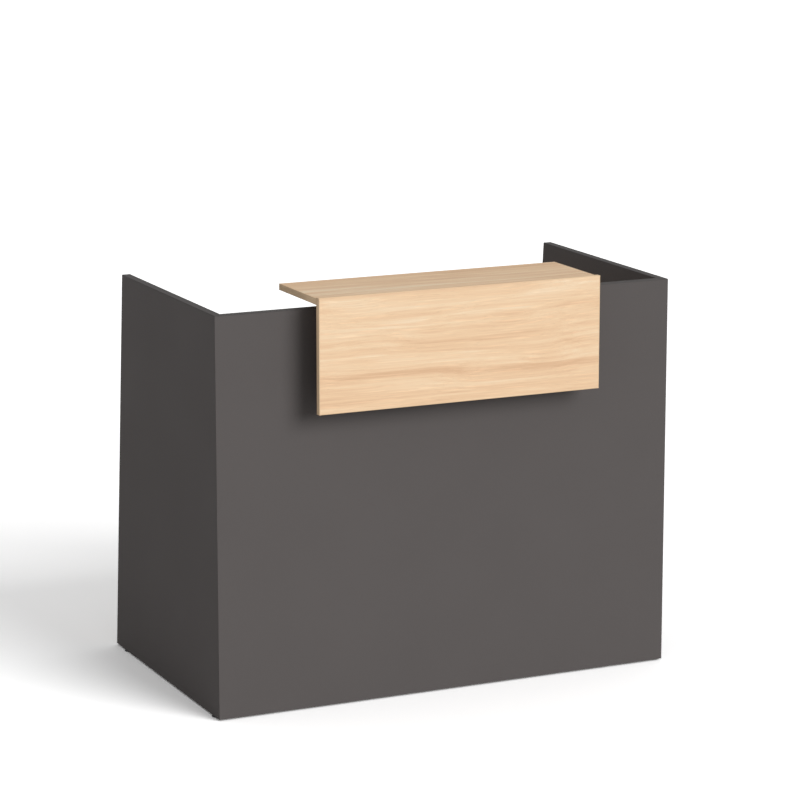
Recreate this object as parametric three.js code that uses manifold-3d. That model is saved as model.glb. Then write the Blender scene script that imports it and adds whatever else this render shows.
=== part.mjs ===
// Reception desk: a mitred carcass of three boards, a worktop inside it and a raised counter on its front.
// Millimetres, +X along the front, +Y from the visitor's side to the staff's side, +Z up.
// The origin is on the floor, under the middle of the desk's bounding box.

import * as THREE from 'three';
import { mergeVertices } from 'three/addons/utils/BufferGeometryUtils.js';
import Module from 'manifold-3d';

// Carcass: a front panel and two side panels that are deeper at the floor than at the top
const deskWidth = 1350;
const panelHeight = 1095;
const sideDepthBottom = 800;
const sideDepthTop = 700;
const carcassBoard = 25;

// Counter: a shelf and, in front of it, a fascia that stands proud of its top; both stand off the front panel
const counterLength = 832;
const counterDepth = 267;
const counterBoard = 18;
const fasciaHeight = 312;
const fasciaLip = 2.5;
const fasciaStandOff = 65;
const shelfStandOff = 20;

// Worktop, set back from the rear edges of the side panels
const worktopBoard = 25;
const worktopHeight = 740;
const worktopSetback = 45;
const worktopGap = 0.5;

// Edging glued to the open edges of the boards
const edgingThickness = 2;
const edgingRadius = 1.5;
const glueLine = 0.2;

// Joints between boards and the loose tongues in them
const jointGap = 0.3;
const tongueThickness = 4;
const tongueEndInset = 40;
const tongueWidth = 16;

// Steel angle brackets in the corners and under the worktop
const bracketLeg = 60;
const bracketWidth = 44;
const bracketGauge = 3;
const bracketBend = 3;
const bracketCorner = 7;
const bracketHoleRadius = 2.6;
const bracketHoleInset = 14;
const bracketHolePitch = 24;
const bracketRibWidth = 8;
const bracketRibReach = 20;
const sideBracketInset = 110;
const frontBracketSpacing = 500;
const cornerBracketInset = 150;

// Spacers and long screws that hold the fascia
const spacerRadius = 12.5;
const spacerChamfer = 0.8;
const spacerEndInset = 116;
const spacerRowInset = 58;
const screwRadius = 3;
const screwBite = 13;
const screwPoint = 5;
const screwHeadRadius = 7;
const screwHeadHeight = 4;
const screwHeadCrown = 2;
const screwSocketRadius = 2.9;
const screwSocketDepth = 2.4;

// Posts and double-ended studs that carry the shelf
const postRadius = 10;
const postChamfer = 0.6;
const postEndInset = 170;
const studGrip = 40;

// Levelling feet, two in the bottom edge of each side panel
const footHeight = 5;
const footInsetFront = 48;
const footInsetRear = 75;
const padRadius = 15;
const padShoulderRadius = 10;
const padRim = 2.4;
const padFloor = 1.6;
const padChamfer = 0.6;
const collarRadius = 5.6;
const collarHeight = 1.6;
const spindleRadius = 4;
const spindleLength = 48;
const spindlePoint = 1.2;
const spindleRoom = 6;
const insertRadius = 7;
const insertLength = 30;
const insertChamfer = 0.6;

// Cable ports in the worktop: a flanged ring with a ledge, and a notched cap that lies on the ledge
const portRadius = 40;
const portEndInset = 220;
const portInset = 95;
const portDepth = 22;
const portWall = 2.5;
const portFlange = 5;
const portFlangeHeight = 2;
const portFlangeBevel = 1.2;
const portLedge = 2.2;
const portLedgeDepth = 2.4;
const capBevel = 0.8;
const capNotchWidth = 24;
const capNotchReach = 22;

// Clearances: round a piece in its bore or groove, and between faces that bear on each other
const fit = 0.3;
const seat = 0.2;

// Facets of round forms, and how far a cutting tool reaches past what it cuts
const roundSegments = 20;
const portSegments = 40;
const holeSegments = 12;
const arcSegments = 3;
const hexagonSides = 6;
const overrun = 10;

// Levels and faces that several pieces share
const panelBottom = footHeight;
const panelTop = panelBottom + panelHeight;
const innerHalfWidth = deskWidth / 2 - carcassBoard;
const sideCentre = (deskWidth - carcassBoard) / 2;
const edgingTotal = edgingThickness + glueLine;
const coreTop = panelTop - edgingTotal;
const shelfBottom = panelTop + shelfStandOff;
const shelfTop = shelfBottom + counterBoard;
const fasciaTop = shelfTop + fasciaLip;
const fasciaBottom = fasciaTop - fasciaHeight;
const counterReach = fasciaStandOff + counterBoard;
const shelfFront = jointGap - fasciaStandOff;
const shelfRear = counterDepth - counterReach;
const counterHalf = counterLength / 2;
const worktopBottom = worktopHeight - worktopBoard;
const worktopFront = carcassBoard + worktopGap;
const worktopRear = sideDepthAt(worktopHeight) - worktopSetback;
const portSleeve = portRadius - fit;
const portMouth = portSleeve - portWall;
const capRadius = portMouth - fit;
const cutterSize = 2 * (deskWidth + panelHeight + sideDepthBottom);

const X = vector(1, 0, 0);
const Y = vector(0, 1, 0);
const Z = vector(0, 0, 1);
const down = vector(0, 0, -1);

// The two ends of the desk
const ends = [
  { word: 'left', sign: -1 },
  { word: 'right', sign: 1 },
];

const finishes = {
  charcoalBoard: { color: 0x5e5a59, roughness: 0.55, metalness: 0 },
  charcoalEdging: { color: 0x5a5655, roughness: 0.5, metalness: 0 },
  woodBoard: { color: 0xe6c49d, roughness: 0.5, metalness: 0 },
  woodEdging: { color: 0xdcb88f, roughness: 0.5, metalness: 0 },
  plywood: { color: 0xc9a877, roughness: 0.8, metalness: 0 },
  steel: { color: 0xb4b6b8, roughness: 0.4, metalness: 1 },
  aluminium: { color: 0xc6c8ca, roughness: 0.35, metalness: 1 },
  blackPlastic: { color: 0x1c1c1d, roughness: 0.6, metalness: 0 },
};

const wasm = await Module();
wasm.setup();

function vector(x, y, z) {
  return new THREE.Vector3(x, y, z);
}

// Depth of a side panel at a height, along its sloping rear edge
function sideDepthAt(height) {
  return sideDepthBottom + (sideDepthTop - sideDepthBottom) * (height - panelBottom) / panelHeight;
}

// A closed geometry as a solid: shared corners merged, triangles that collapse on a turning axis left out
function solidOf(geometry) {
  const bare = geometry.clone();
  bare.deleteAttribute('normal');
  bare.deleteAttribute('uv');
  const merged = mergeVertices(bare);
  const corners = merged.index.array;
  const triangles = [];
  for (let i = 0; i < corners.length; i += 3) {
    const [a, b, c] = corners.slice(i, i + 3);
    if (a !== b && b !== c && c !== a) triangles.push(a, b, c);
  }
  const vertProperties = new Float32Array(merged.attributes.position.array);
  const triVerts = new Uint32Array(triangles);
  return new wasm.Manifold(new wasm.Mesh({ numProp: 3, vertProperties, triVerts }));
}

function geometryOf(solid) {
  const mesh = solid.getMesh();
  const geometry = new THREE.BufferGeometry();
  geometry.setAttribute('position', new THREE.BufferAttribute(mesh.vertProperties, 3));
  geometry.setIndex(new THREE.BufferAttribute(mesh.triVerts, 1));
  return geometry;
}

function cut(geometry, ...tools) {
  return geometryOf(tools.reduce((solid, tool) => solid.subtract(solidOf(tool)), solidOf(geometry)));
}

function join(geometry, ...others) {
  return geometryOf(others.reduce((solid, other) => solid.add(solidOf(other)), solidOf(geometry)));
}

function keep(geometry, ...limits) {
  return geometryOf(limits.reduce((solid, limit) => solid.intersect(solidOf(limit)), solidOf(geometry)));
}

// Cuts away everything beyond a plane
function trim(geometry, point, normal) {
  const beyond = new THREE.BoxGeometry(cutterSize, cutterSize, cutterSize).translate(0, 0, cutterSize / 2);
  beyond.applyQuaternion(new THREE.Quaternion().setFromUnitVectors(Z, normal));
  return cut(geometry, beyond.translate(point.x, point.y, point.z));
}

// Box between two opposite corners, given in any order
function block(corner, opposite) {
  const size = opposite.clone().sub(corner);
  const centre = corner.clone().add(opposite).multiplyScalar(0.5);
  const box = new THREE.BoxGeometry(Math.abs(size.x), Math.abs(size.y), Math.abs(size.z));
  return box.translate(centre.x, centre.y, centre.z);
}

// Round bar between two points
function rod(radius, from, to, segments = holeSegments) {
  const along = to.clone().sub(from);
  const middle = from.clone().add(to).multiplyScalar(0.5);
  const bar = new THREE.CylinderGeometry(radius, radius, along.length(), segments);
  bar.applyQuaternion(new THREE.Quaternion().setFromUnitVectors(Y, along.normalize()));
  return bar.translate(middle.x, middle.y, middle.z);
}

// Turned piece about +Z from radius and height pairs
function turned(profile, segments = roundSegments) {
  const points = profile.map(([radius, height]) => new THREE.Vector2(radius, height));
  return new THREE.LatheGeometry(points, segments).rotateX(Math.PI / 2);
}

// Tube that stands on z = 0, with chamfered outer ends
function sleeve(outerRadius, innerRadius, length, chamfer) {
  return turned([
    [innerRadius, 0],
    [outerRadius - chamfer, 0],
    [outerRadius, chamfer],
    [outerRadius, length - chamfer],
    [outerRadius - chamfer, length],
    [innerRadius, length],
    [innerRadius, 0],
  ]);
}

// Edging strip along the centre line of a board's edge: flat where it is glued, its outer corners rounded
function edging(from, to, out, width) {
  const half = width / 2;
  const radius = Math.min(edgingRadius, edgingThickness);
  const shoulder = edgingThickness - radius;
  const section = new THREE.Shape();
  section.moveTo(-half, 0);
  section.lineTo(half, 0);
  section.absarc(half - radius, shoulder, radius, 0, Math.PI / 2);
  section.absarc(radius - half, shoulder, radius, Math.PI / 2, Math.PI);
  const along = to.clone().sub(from);
  const options = { depth: along.length(), bevelEnabled: false, curveSegments: arcSegments };
  const strip = new THREE.ExtrudeGeometry(section, options);
  const across = vector(0, 0, 0).crossVectors(out, along.normalize());
  const start = from.clone().addScaledVector(out, glueLine);
  return strip.applyMatrix4(new THREE.Matrix4().makeBasis(across, out, along).setPosition(start));
}

function piece(name, geometry, finish) {
  const mesh = new THREE.Mesh(geometry, new THREE.MeshStandardMaterial(finishes[finish]));
  mesh.name = name;
  return mesh;
}

// A piece whose own axes lie along three directions of the desk, the third square to the two given
function laid(mesh, position, first, second) {
  const third = vector(0, 0, 0).crossVectors(first, second);
  mesh.position.copy(position);
  mesh.quaternion.setFromRotationMatrix(new THREE.Matrix4().makeBasis(first, second, third));
  return mesh;
}

function placed(mesh, x, y, z) {
  mesh.position.set(x, y, z);
  return mesh;
}

// A joint between two boards: the middle of the faces that meet, the normal from the first board to the
// second, and the direction across those faces
function cornerMitre(sign) {
  return {
    middle: vector(sign * sideCentre, carcassBoard / 2, panelBottom + panelHeight / 2),
    normal: vector(sign, 1, 0).normalize(),
    across: vector(-sign, 1, 0).normalize(),
  };
}

function counterJoint() {
  return {
    middle: vector(0, shelfFront - jointGap / 2, shelfBottom + counterBoard / 2),
    normal: vector(0, -1, 0),
    across: Z,
  };
}

function trimToFirst(geometry, { middle, normal }) {
  return trim(geometry, middle.clone().addScaledVector(normal, -jointGap / 2), normal);
}

function trimToSecond(geometry, { middle, normal }) {
  return trim(geometry, middle.clone().addScaledVector(normal, jointGap / 2), normal.clone().negate());
}

// Loose tongue across the middle of a joint; with a clearance it is the tool that cuts its grooves
function tongue({ middle, normal, across }, length, clearance) {
  const extra = 2 * clearance;
  const bar = new THREE.BoxGeometry(tongueWidth + extra, tongueThickness + extra, length + extra);
  const third = vector(0, 0, 0).crossVectors(normal, across);
  return bar.applyMatrix4(new THREE.Matrix4().makeBasis(normal, across, third).setPosition(middle));
}

function cornerTongue(sign, clearance) {
  return tongue(cornerMitre(sign), panelHeight - 2 * tongueEndInset, clearance);
}

function counterTongue(clearance) {
  return tongue(counterJoint(), counterLength - 2 * tongueEndInset, clearance);
}

// Places of what more than one piece is bored for
const spacerPlaces = ends.flatMap(({ word, sign }) => [
  { word: `${word}_lower`, x: sign * (counterHalf - spacerEndInset), z: fasciaBottom + spacerRowInset },
  { word: `${word}_upper`, x: sign * (counterHalf - spacerEndInset), z: panelTop - spacerRowInset },
]);
const postPlaces = ends.map(({ word, sign }) => ({ word, x: sign * (counterHalf - postEndInset) }));
const footPlaces = ends.flatMap(({ word, sign }) => [
  { word: `${word}_front`, sign, y: footInsetFront },
  { word: `${word}_rear`, sign, y: sideDepthBottom - footInsetRear },
]);
const portPlaces = ends.map(({ word, sign }) => ({
  word,
  x: sign * (innerHalfWidth - portEndInset),
  y: worktopFront + portInset,
}));
const screwLength = seat + carcassBoard + fasciaStandOff + screwBite;
const studBottom = panelTop - studGrip;
const studTop = shelfBottom + screwBite;
const spindleBottom = padFloor + seat;
const spindleTop = spindleBottom + spindleLength;

function studBore(x) {
  const bottom = vector(x, carcassBoard / 2, studBottom - seat);
  return rod(screwRadius + fit, bottom, vector(x, carcassBoard / 2, studTop + seat));
}

function screwBore(x, z) {
  const tip = vector(x, -fasciaStandOff - screwBite - seat, z);
  return rod(screwRadius + fit, vector(x, carcassBoard + overrun, z), tip);
}

// Front panel, mitred at both ends, bored for the fascia's screws and the shelf's studs
function frontPanel() {
  const board = block(vector(-deskWidth / 2, 0, panelBottom), vector(deskWidth / 2, carcassBoard, coreTop));
  const mitred = ends.reduce((shape, { sign }) => trimToFirst(shape, cornerMitre(sign)), board);
  return cut(
    mitred,
    ...ends.map(({ sign }) => cornerTongue(sign, fit)),
    ...spacerPlaces.map(({ x, z }) => screwBore(x, z)),
    ...postPlaces.map(({ x }) => studBore(x)),
  );
}

function frontEdging() {
  const from = vector(-deskWidth / 2 - overrun, carcassBoard / 2, coreTop);
  const strip = edging(from, vector(-from.x, from.y, from.z), Z, carcassBoard);
  const mitred = ends.reduce((shape, { sign }) => trimToFirst(shape, cornerMitre(sign)), strip);
  return cut(mitred, ...postPlaces.map(({ x }) => studBore(x)));
}

// Sloping rear face of a side panel's board, and the line of its edge
const slopeNormal = vector(0, panelHeight, sideDepthBottom - sideDepthTop).normalize();
const slopeAlong = vector(0, sideDepthTop - sideDepthBottom, panelHeight).normalize();
const slopeFoot = vector(0, sideDepthBottom, panelBottom).addScaledVector(slopeNormal, -edgingTotal);

// Side panel, mitred at its front and bored upwards for its two feet
function sidePanel(sign) {
  const low = vector(sign * deskWidth / 2, 0, panelBottom);
  const board = block(low, vector(sign * innerHalfWidth, sideDepthBottom + overrun, coreTop));
  const sloped = trim(board, slopeFoot, slopeNormal);
  const bores = footPlaces.filter((foot) => foot.sign === sign).flatMap(({ y }) => {
    const mouth = vector(sign * sideCentre, y, panelBottom - overrun);
    const insertEnd = vector(mouth.x, y, panelBottom + insertLength + fit);
    const spindleEnd = vector(mouth.x, y, spindleTop + spindleRoom);
    return [
      rod(insertRadius + fit, mouth, insertEnd, roundSegments),
      rod(spindleRadius + fit, mouth, spindleEnd, roundSegments),
    ];
  });
  return cut(trimToSecond(sloped, cornerMitre(sign)), cornerTongue(sign, fit), ...bores);
}

function sideTopEdging(sign) {
  const from = vector(sign * sideCentre, -overrun, coreTop);
  const strip = edging(from, vector(from.x, sideDepthTop + overrun, coreTop), Z, carcassBoard);
  return trim(trimToSecond(strip, cornerMitre(sign)), slopeFoot, slopeNormal);
}

function sideRearEdging(sign) {
  const slopeLength = Math.hypot(panelHeight, sideDepthBottom - sideDepthTop);
  const foot = slopeFoot.clone().setX(sign * sideCentre);
  const from = foot.clone().addScaledVector(slopeAlong, -overrun);
  const to = foot.clone().addScaledVector(slopeAlong, slopeLength + overrun);
  const strip = edging(from, to, slopeNormal, carcassBoard);
  return trim(trim(strip, vector(0, 0, panelBottom), down), vector(0, 0, panelTop), Z);
}

// Counter boards and their edging
function counterShelf() {
  const half = counterHalf - edgingTotal;
  const low = vector(-half, shelfFront, shelfBottom);
  const board = block(low, vector(half, shelfRear - edgingTotal, shelfTop));
  return cut(board, counterTongue(fit), ...postPlaces.map(({ x }) => studBore(x)));
}

function counterFascia() {
  const half = counterHalf - edgingTotal;
  const low = vector(-half, -counterReach, fasciaBottom + edgingTotal);
  const board = block(low, vector(half, -fasciaStandOff, fasciaTop - edgingTotal));
  return cut(board, counterTongue(fit), ...spacerPlaces.map(({ x, z }) => screwBore(x, z)));
}

function shelfRearEdging() {
  const from = vector(-counterHalf, shelfRear - edgingTotal, shelfTop - counterBoard / 2);
  return edging(from, vector(counterHalf, from.y, from.z), Y, counterBoard);
}

function shelfEndEdging(sign) {
  const x = sign * (counterHalf - edgingTotal);
  const z = shelfTop - counterBoard / 2;
  const rear = vector(x, shelfRear - edgingTotal, z);
  return edging(vector(x, shelfFront, z), rear, vector(sign, 0, 0), counterBoard);
}

function fasciaLongEdging(level, out) {
  const from = vector(-counterHalf, -fasciaStandOff - counterBoard / 2, level);
  return edging(from, vector(counterHalf, from.y, level), out, counterBoard);
}

function fasciaEndEdging(sign) {
  const x = sign * (counterHalf - edgingTotal);
  const y = -fasciaStandOff - counterBoard / 2;
  const bottom = vector(x, y, fasciaBottom + edgingTotal);
  return edging(bottom, vector(x, y, fasciaTop - edgingTotal), vector(sign, 0, 0), counterBoard);
}

// Worktop with its two cable holes
function worktop() {
  const half = innerHalfWidth - worktopGap;
  const low = vector(-half, worktopFront, worktopBottom);
  const board = block(low, vector(half, worktopRear - edgingTotal, worktopHeight));
  const holes = portPlaces.map(({ x, y }) => {
    const bottom = vector(x, y, worktopBottom - overrun);
    return rod(portRadius, bottom, vector(x, y, worktopHeight + overrun), portSegments);
  });
  return cut(board, ...holes);
}

function worktopEdging() {
  const half = innerHalfWidth - worktopGap;
  const from = vector(-half, worktopRear - edgingTotal, worktopHeight - worktopBoard / 2);
  return edging(from, vector(half, from.y, from.z), Y, worktopBoard);
}

// Angle bracket with its bend at the origin and its legs along +X and +Y
function bracket() {
  const inner = bracketGauge + bracketBend;
  const section = new THREE.Shape();
  section.moveTo(bracketLeg, 0);
  section.lineTo(bracketLeg, bracketGauge);
  section.absarc(inner, inner, bracketBend, -Math.PI / 2, -Math.PI, true);
  section.lineTo(bracketGauge, bracketLeg);
  section.lineTo(0, bracketLeg);
  section.absarc(inner, inner, inner, Math.PI, 1.5 * Math.PI);
  const width = { depth: bracketWidth, bevelEnabled: false, curveSegments: arcSegments };
  const angle = new THREE.ExtrudeGeometry(section, width).translate(0, 0, -bracketWidth / 2);

  const ribFoot = bracketGauge / 2;
  const ribEnd = inner + bracketRibReach;
  const ribSection = new THREE.Shape();
  ribSection.moveTo(inner, ribFoot);
  ribSection.lineTo(ribEnd, ribFoot);
  ribSection.lineTo(ribFoot, ribEnd);
  ribSection.lineTo(ribFoot, inner);
  const ribDepth = { depth: bracketRibWidth, bevelEnabled: false };
  const rib = new THREE.ExtrudeGeometry(ribSection, ribDepth).translate(0, 0, -bracketRibWidth / 2);

  const holeAt = bracketLeg - bracketHoleInset;
  const holes = [-1, 1].flatMap((side) => {
    const z = side * bracketHolePitch / 2;
    return [
      rod(bracketHoleRadius, vector(holeAt, -overrun, z), vector(holeAt, overrun, z)),
      rod(bracketHoleRadius, vector(-overrun, holeAt, z), vector(overrun, holeAt, z)),
    ];
  });
  const blank = bracketBlank();
  const turnedBlank = blank.clone().applyMatrix4(new THREE.Matrix4().makeBasis(Y, X, Z.clone().negate()));
  return cut(join(keep(angle, blank, turnedBlank), rib), ...holes);
}

// Outline of a bracket's leg seen square on, its two free corners rounded
function bracketBlank() {
  const half = bracketWidth / 2;
  const corner = Math.min(bracketCorner, half);
  const outline = new THREE.Shape();
  outline.moveTo(-overrun, -half);
  outline.lineTo(bracketLeg - corner, -half);
  outline.absarc(bracketLeg - corner, corner - half, corner, -Math.PI / 2, 0);
  outline.absarc(bracketLeg - corner, half - corner, corner, 0, Math.PI / 2);
  outline.lineTo(-overrun, half);
  const height = bracketLeg + 2 * overrun;
  const options = { depth: height, bevelEnabled: false, curveSegments: arcSegments };
  const basis = new THREE.Matrix4().makeBasis(X, Z.clone().negate(), Y).setPosition(0, -overrun, 0);
  return new THREE.ExtrudeGeometry(outline, options).applyMatrix4(basis);
}

// Long screw along +Z, the underside of its head at z = 0
function fasciaScrew() {
  const screw = turned([
    [0, -screwHeadHeight],
    [screwHeadRadius - screwHeadCrown, -screwHeadHeight],
    [screwHeadRadius, screwHeadCrown - screwHeadHeight],
    [screwHeadRadius, 0],
    [screwRadius, 0],
    [screwRadius, screwLength - screwPoint],
    [0, screwLength],
  ]);
  const floor = vector(0, 0, screwSocketDepth - screwHeadHeight);
  return cut(screw, rod(screwSocketRadius, vector(0, 0, -screwHeadHeight - overrun), floor, hexagonSides));
}

function stud() {
  const length = studTop - studBottom;
  return turned([
    [0, 0],
    [screwRadius, screwPoint],
    [screwRadius, length - screwPoint],
    [0, length],
  ]);
}

// Levelling foot, standing on z = 0
function footPad() {
  const top = footHeight - seat;
  const socket = collarRadius + fit;
  return turned([
    [0, 0],
    [padRadius - padChamfer, 0],
    [padRadius, padChamfer],
    [padRadius, padRim],
    [padShoulderRadius, top],
    [socket, top],
    [socket, padFloor],
    [0, padFloor],
  ]);
}

function footSpindle() {
  const collarTop = spindleBottom + collarHeight;
  return turned([
    [0, spindleBottom],
    [collarRadius, spindleBottom],
    [collarRadius, collarTop],
    [spindleRadius, collarTop],
    [spindleRadius, spindleTop - spindlePoint],
    [spindleRadius - spindlePoint, spindleTop],
    [0, spindleTop],
  ]);
}

// Cable port, z = 0 on the worktop's surface
function portRing() {
  const flangeRadius = portRadius + portFlange;
  const ledgeRadius = portMouth - portLedge;
  return turned([
    [ledgeRadius, -portDepth],
    [portSleeve, -portDepth],
    [portSleeve, seat],
    [flangeRadius, seat],
    [flangeRadius, portFlangeHeight - portFlangeBevel],
    [flangeRadius - portFlangeBevel, portFlangeHeight],
    [portMouth, portFlangeHeight],
    [portMouth, -portLedgeDepth],
    [ledgeRadius, -portLedgeDepth],
    [ledgeRadius, -portDepth],
  ], portSegments);
}

function portCap() {
  const disc = turned([
    [0, seat - portLedgeDepth],
    [capRadius, seat - portLedgeDepth],
    [capRadius, portFlangeHeight - capBevel],
    [capRadius - capBevel, portFlangeHeight],
    [0, portFlangeHeight],
  ], portSegments);
  const half = capNotchWidth / 2;
  const notchCentre = capNotchReach - half - capRadius;
  const notch = new THREE.Shape();
  notch.moveTo(-half, -capRadius - overrun);
  notch.lineTo(half, -capRadius - overrun);
  notch.absarc(0, notchCentre, half, 0, Math.PI);
  const options = { depth: 2 * overrun, bevelEnabled: false, curveSegments: roundSegments / 2 };
  return cut(disc, new THREE.ExtrudeGeometry(notch, options).translate(0, 0, -overrun));
}

// Assembly
function carcassPieces() {
  return [
    piece('front_panel', frontPanel(), 'charcoalBoard'),
    piece('front_panel_edging', frontEdging(), 'charcoalEdging'),
    ...ends.flatMap(({ word, sign }) => [
      piece(`side_panel_${word}`, sidePanel(sign), 'charcoalBoard'),
      piece(`side_top_edging_${word}`, sideTopEdging(sign), 'charcoalEdging'),
      piece(`side_rear_edging_${word}`, sideRearEdging(sign), 'charcoalEdging'),
      piece(`corner_tongue_${word}`, cornerTongue(sign, 0), 'plywood'),
    ]),
  ];
}

function cornerBrackets() {
  const levels = [
    { word: 'lower', z: panelBottom + cornerBracketInset },
    { word: 'upper', z: panelTop - cornerBracketInset },
  ];
  return ends.flatMap((end) => levels.map(({ word, z }) => {
    const mesh = piece(`corner_bracket_${end.word}_${word}`, bracket(), 'steel');
    const corner = vector(end.sign * (innerHalfWidth - seat), carcassBoard + seat, z);
    return laid(mesh, corner, vector(-end.sign, 0, 0), Y);
  }));
}

function worktopPieces() {
  return [
    piece('worktop', worktop(), 'woodBoard'),
    piece('worktop_edging', worktopEdging(), 'woodEdging'),
    ...portPlaces.flatMap(({ word, x, y }) => [
      placed(piece(`port_ring_${word}`, portRing(), 'blackPlastic'), x, y, worktopHeight),
      placed(piece(`port_cap_${word}`, portCap(), 'blackPlastic'), x, y, worktopHeight),
    ]),
  ];
}

function worktopBrackets() {
  const z = worktopBottom - seat;
  const rows = [
    { word: 'front', y: worktopFront + sideBracketInset },
    { word: 'rear', y: worktopRear - sideBracketInset },
  ];
  const onSides = ends.flatMap((end) => rows.map(({ word, y }) => {
    const mesh = piece(`worktop_bracket_${end.word}_${word}`, bracket(), 'steel');
    return laid(mesh, vector(end.sign * (innerHalfWidth - seat), y, z), vector(-end.sign, 0, 0), down);
  }));
  const onFront = ends.map(({ word, sign }) => {
    const mesh = piece(`worktop_bracket_front_${word}`, bracket(), 'steel');
    return laid(mesh, vector(sign * frontBracketSpacing / 2, carcassBoard + seat, z), Y, down);
  });
  return [...onSides, ...onFront];
}

function counterPieces() {
  return [
    piece('counter_shelf', counterShelf(), 'woodBoard'),
    piece('counter_fascia', counterFascia(), 'woodBoard'),
    piece('counter_tongue', counterTongue(0), 'plywood'),
    piece('shelf_rear_edging', shelfRearEdging(), 'woodEdging'),
    piece('fascia_top_edging', fasciaLongEdging(fasciaTop - edgingTotal, Z), 'woodEdging'),
    piece('fascia_bottom_edging', fasciaLongEdging(fasciaBottom + edgingTotal, down), 'woodEdging'),
    ...ends.flatMap(({ word, sign }) => [
      piece(`shelf_end_edging_${word}`, shelfEndEdging(sign), 'woodEdging'),
      piece(`fascia_end_edging_${word}`, fasciaEndEdging(sign), 'woodEdging'),
    ]),
  ];
}

function counterFixings() {
  const spacerLength = fasciaStandOff - 2 * seat;
  const postLength = shelfStandOff - 2 * seat;
  const boreRadius = screwRadius + fit;
  const spacers = spacerPlaces.flatMap(({ word, x, z }) => {
    const tube = sleeve(spacerRadius, boreRadius, spacerLength, spacerChamfer);
    const spacer = piece(`fascia_spacer_${word}`, tube, 'aluminium');
    const screw = piece(`fascia_screw_${word}`, fasciaScrew(), 'steel');
    return [
      laid(spacer, vector(x, -seat, z), X, Z),
      laid(screw, vector(x, carcassBoard + seat, z), X, Z),
    ];
  });
  const posts = postPlaces.flatMap(({ word, x }) => {
    const tube = sleeve(postRadius, boreRadius, postLength, postChamfer);
    const y = carcassBoard / 2;
    return [
      placed(piece(`shelf_post_${word}`, tube, 'aluminium'), x, y, panelTop + seat),
      placed(piece(`shelf_stud_${word}`, stud(), 'steel'), x, y, studBottom),
    ];
  });
  return [...spacers, ...posts];
}

function feet() {
  return footPlaces.flatMap(({ word, sign, y }) => {
    const x = sign * sideCentre;
    const insert = sleeve(insertRadius, spindleRadius + fit, insertLength, insertChamfer);
    return [
      placed(piece(`foot_pad_${word}`, footPad(), 'blackPlastic'), x, y, 0),
      placed(piece(`foot_spindle_${word}`, footSpindle(), 'steel'), x, y, 0),
      placed(piece(`foot_insert_${word}`, insert, 'steel'), x, y, panelBottom),
    ];
  });
}

const desk = new THREE.Group();
desk.add(...carcassPieces(), ...cornerBrackets());
desk.add(...worktopPieces(), ...worktopBrackets());
desk.add(...counterPieces(), ...counterFixings());
desk.add(...feet());
desk.position.y = (counterReach - sideDepthBottom) / 2;

export default desk;
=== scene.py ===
"""Looks of the reception desk: its finishes, fittings and fasteners, the studio and the camera.

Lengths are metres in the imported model's frame: +X along the front, +Y to the staff's side, +Z up.
"""

import logging
import math
from dataclasses import dataclass, field
from enum import Enum
from typing import Sequence

import bmesh
import bpy
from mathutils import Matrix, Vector


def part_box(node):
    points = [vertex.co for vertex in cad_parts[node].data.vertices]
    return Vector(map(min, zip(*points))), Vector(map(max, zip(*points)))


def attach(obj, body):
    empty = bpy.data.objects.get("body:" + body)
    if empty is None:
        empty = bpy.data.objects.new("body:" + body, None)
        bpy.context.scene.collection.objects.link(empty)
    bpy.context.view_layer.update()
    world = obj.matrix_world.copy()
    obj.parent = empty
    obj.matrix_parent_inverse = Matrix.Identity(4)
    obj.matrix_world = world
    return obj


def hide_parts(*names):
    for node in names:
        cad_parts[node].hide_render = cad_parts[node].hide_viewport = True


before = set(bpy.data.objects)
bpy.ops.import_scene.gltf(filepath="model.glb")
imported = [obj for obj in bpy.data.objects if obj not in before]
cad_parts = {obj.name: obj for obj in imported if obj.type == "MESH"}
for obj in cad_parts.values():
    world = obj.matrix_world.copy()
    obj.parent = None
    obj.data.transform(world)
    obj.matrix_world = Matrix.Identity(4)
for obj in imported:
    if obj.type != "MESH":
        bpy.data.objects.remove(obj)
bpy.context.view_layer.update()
ROOT = "desk"
ENDS = ("left", "right")
MERGE_DISTANCE = 1e-5
NOISE_RANGE = (0.3, 0.7)
EDGE_RANGE = (0.8, 0.99)
EDGE_SAMPLES = 4
CREASE = 35.0
CORNER_SHARE = 0.45

Colour = tuple[float, float, float]
Profile = list[tuple[float, float]]
Span = tuple[float, float]
Feed = bpy.types.NodeSocket | float | Sequence[float]
Feeds = Sequence[Feed] | dict[str, Feed]
SOCKET_KINDS = {
    float: "NodeSocketFloat", Vector: "NodeSocketVector", bpy.types.Material: "NodeSocketMaterial",
}

logging.basicConfig(level=logging.INFO, format="%(message)s")
log = logging.getLogger("reception_desk")


class Axis(Enum):
    """The direction that a grain, a brushing or a turned piece runs in."""

    X = Vector((1, 0, 0))
    Y = Vector((0, 1, 0))
    Z = Vector((0, 0, 1))

    def stretch(self, along: float, across: float) -> Vector:
        """Returns pattern scales with one value along this axis and another across it."""
        return Vector([along if step else across for step in self.value])


class Drive(Enum):
    """The recess in a screw's head, by the number of sides or slots that a key meets."""

    CROSS = 4
    HEXAGON = 6


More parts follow.
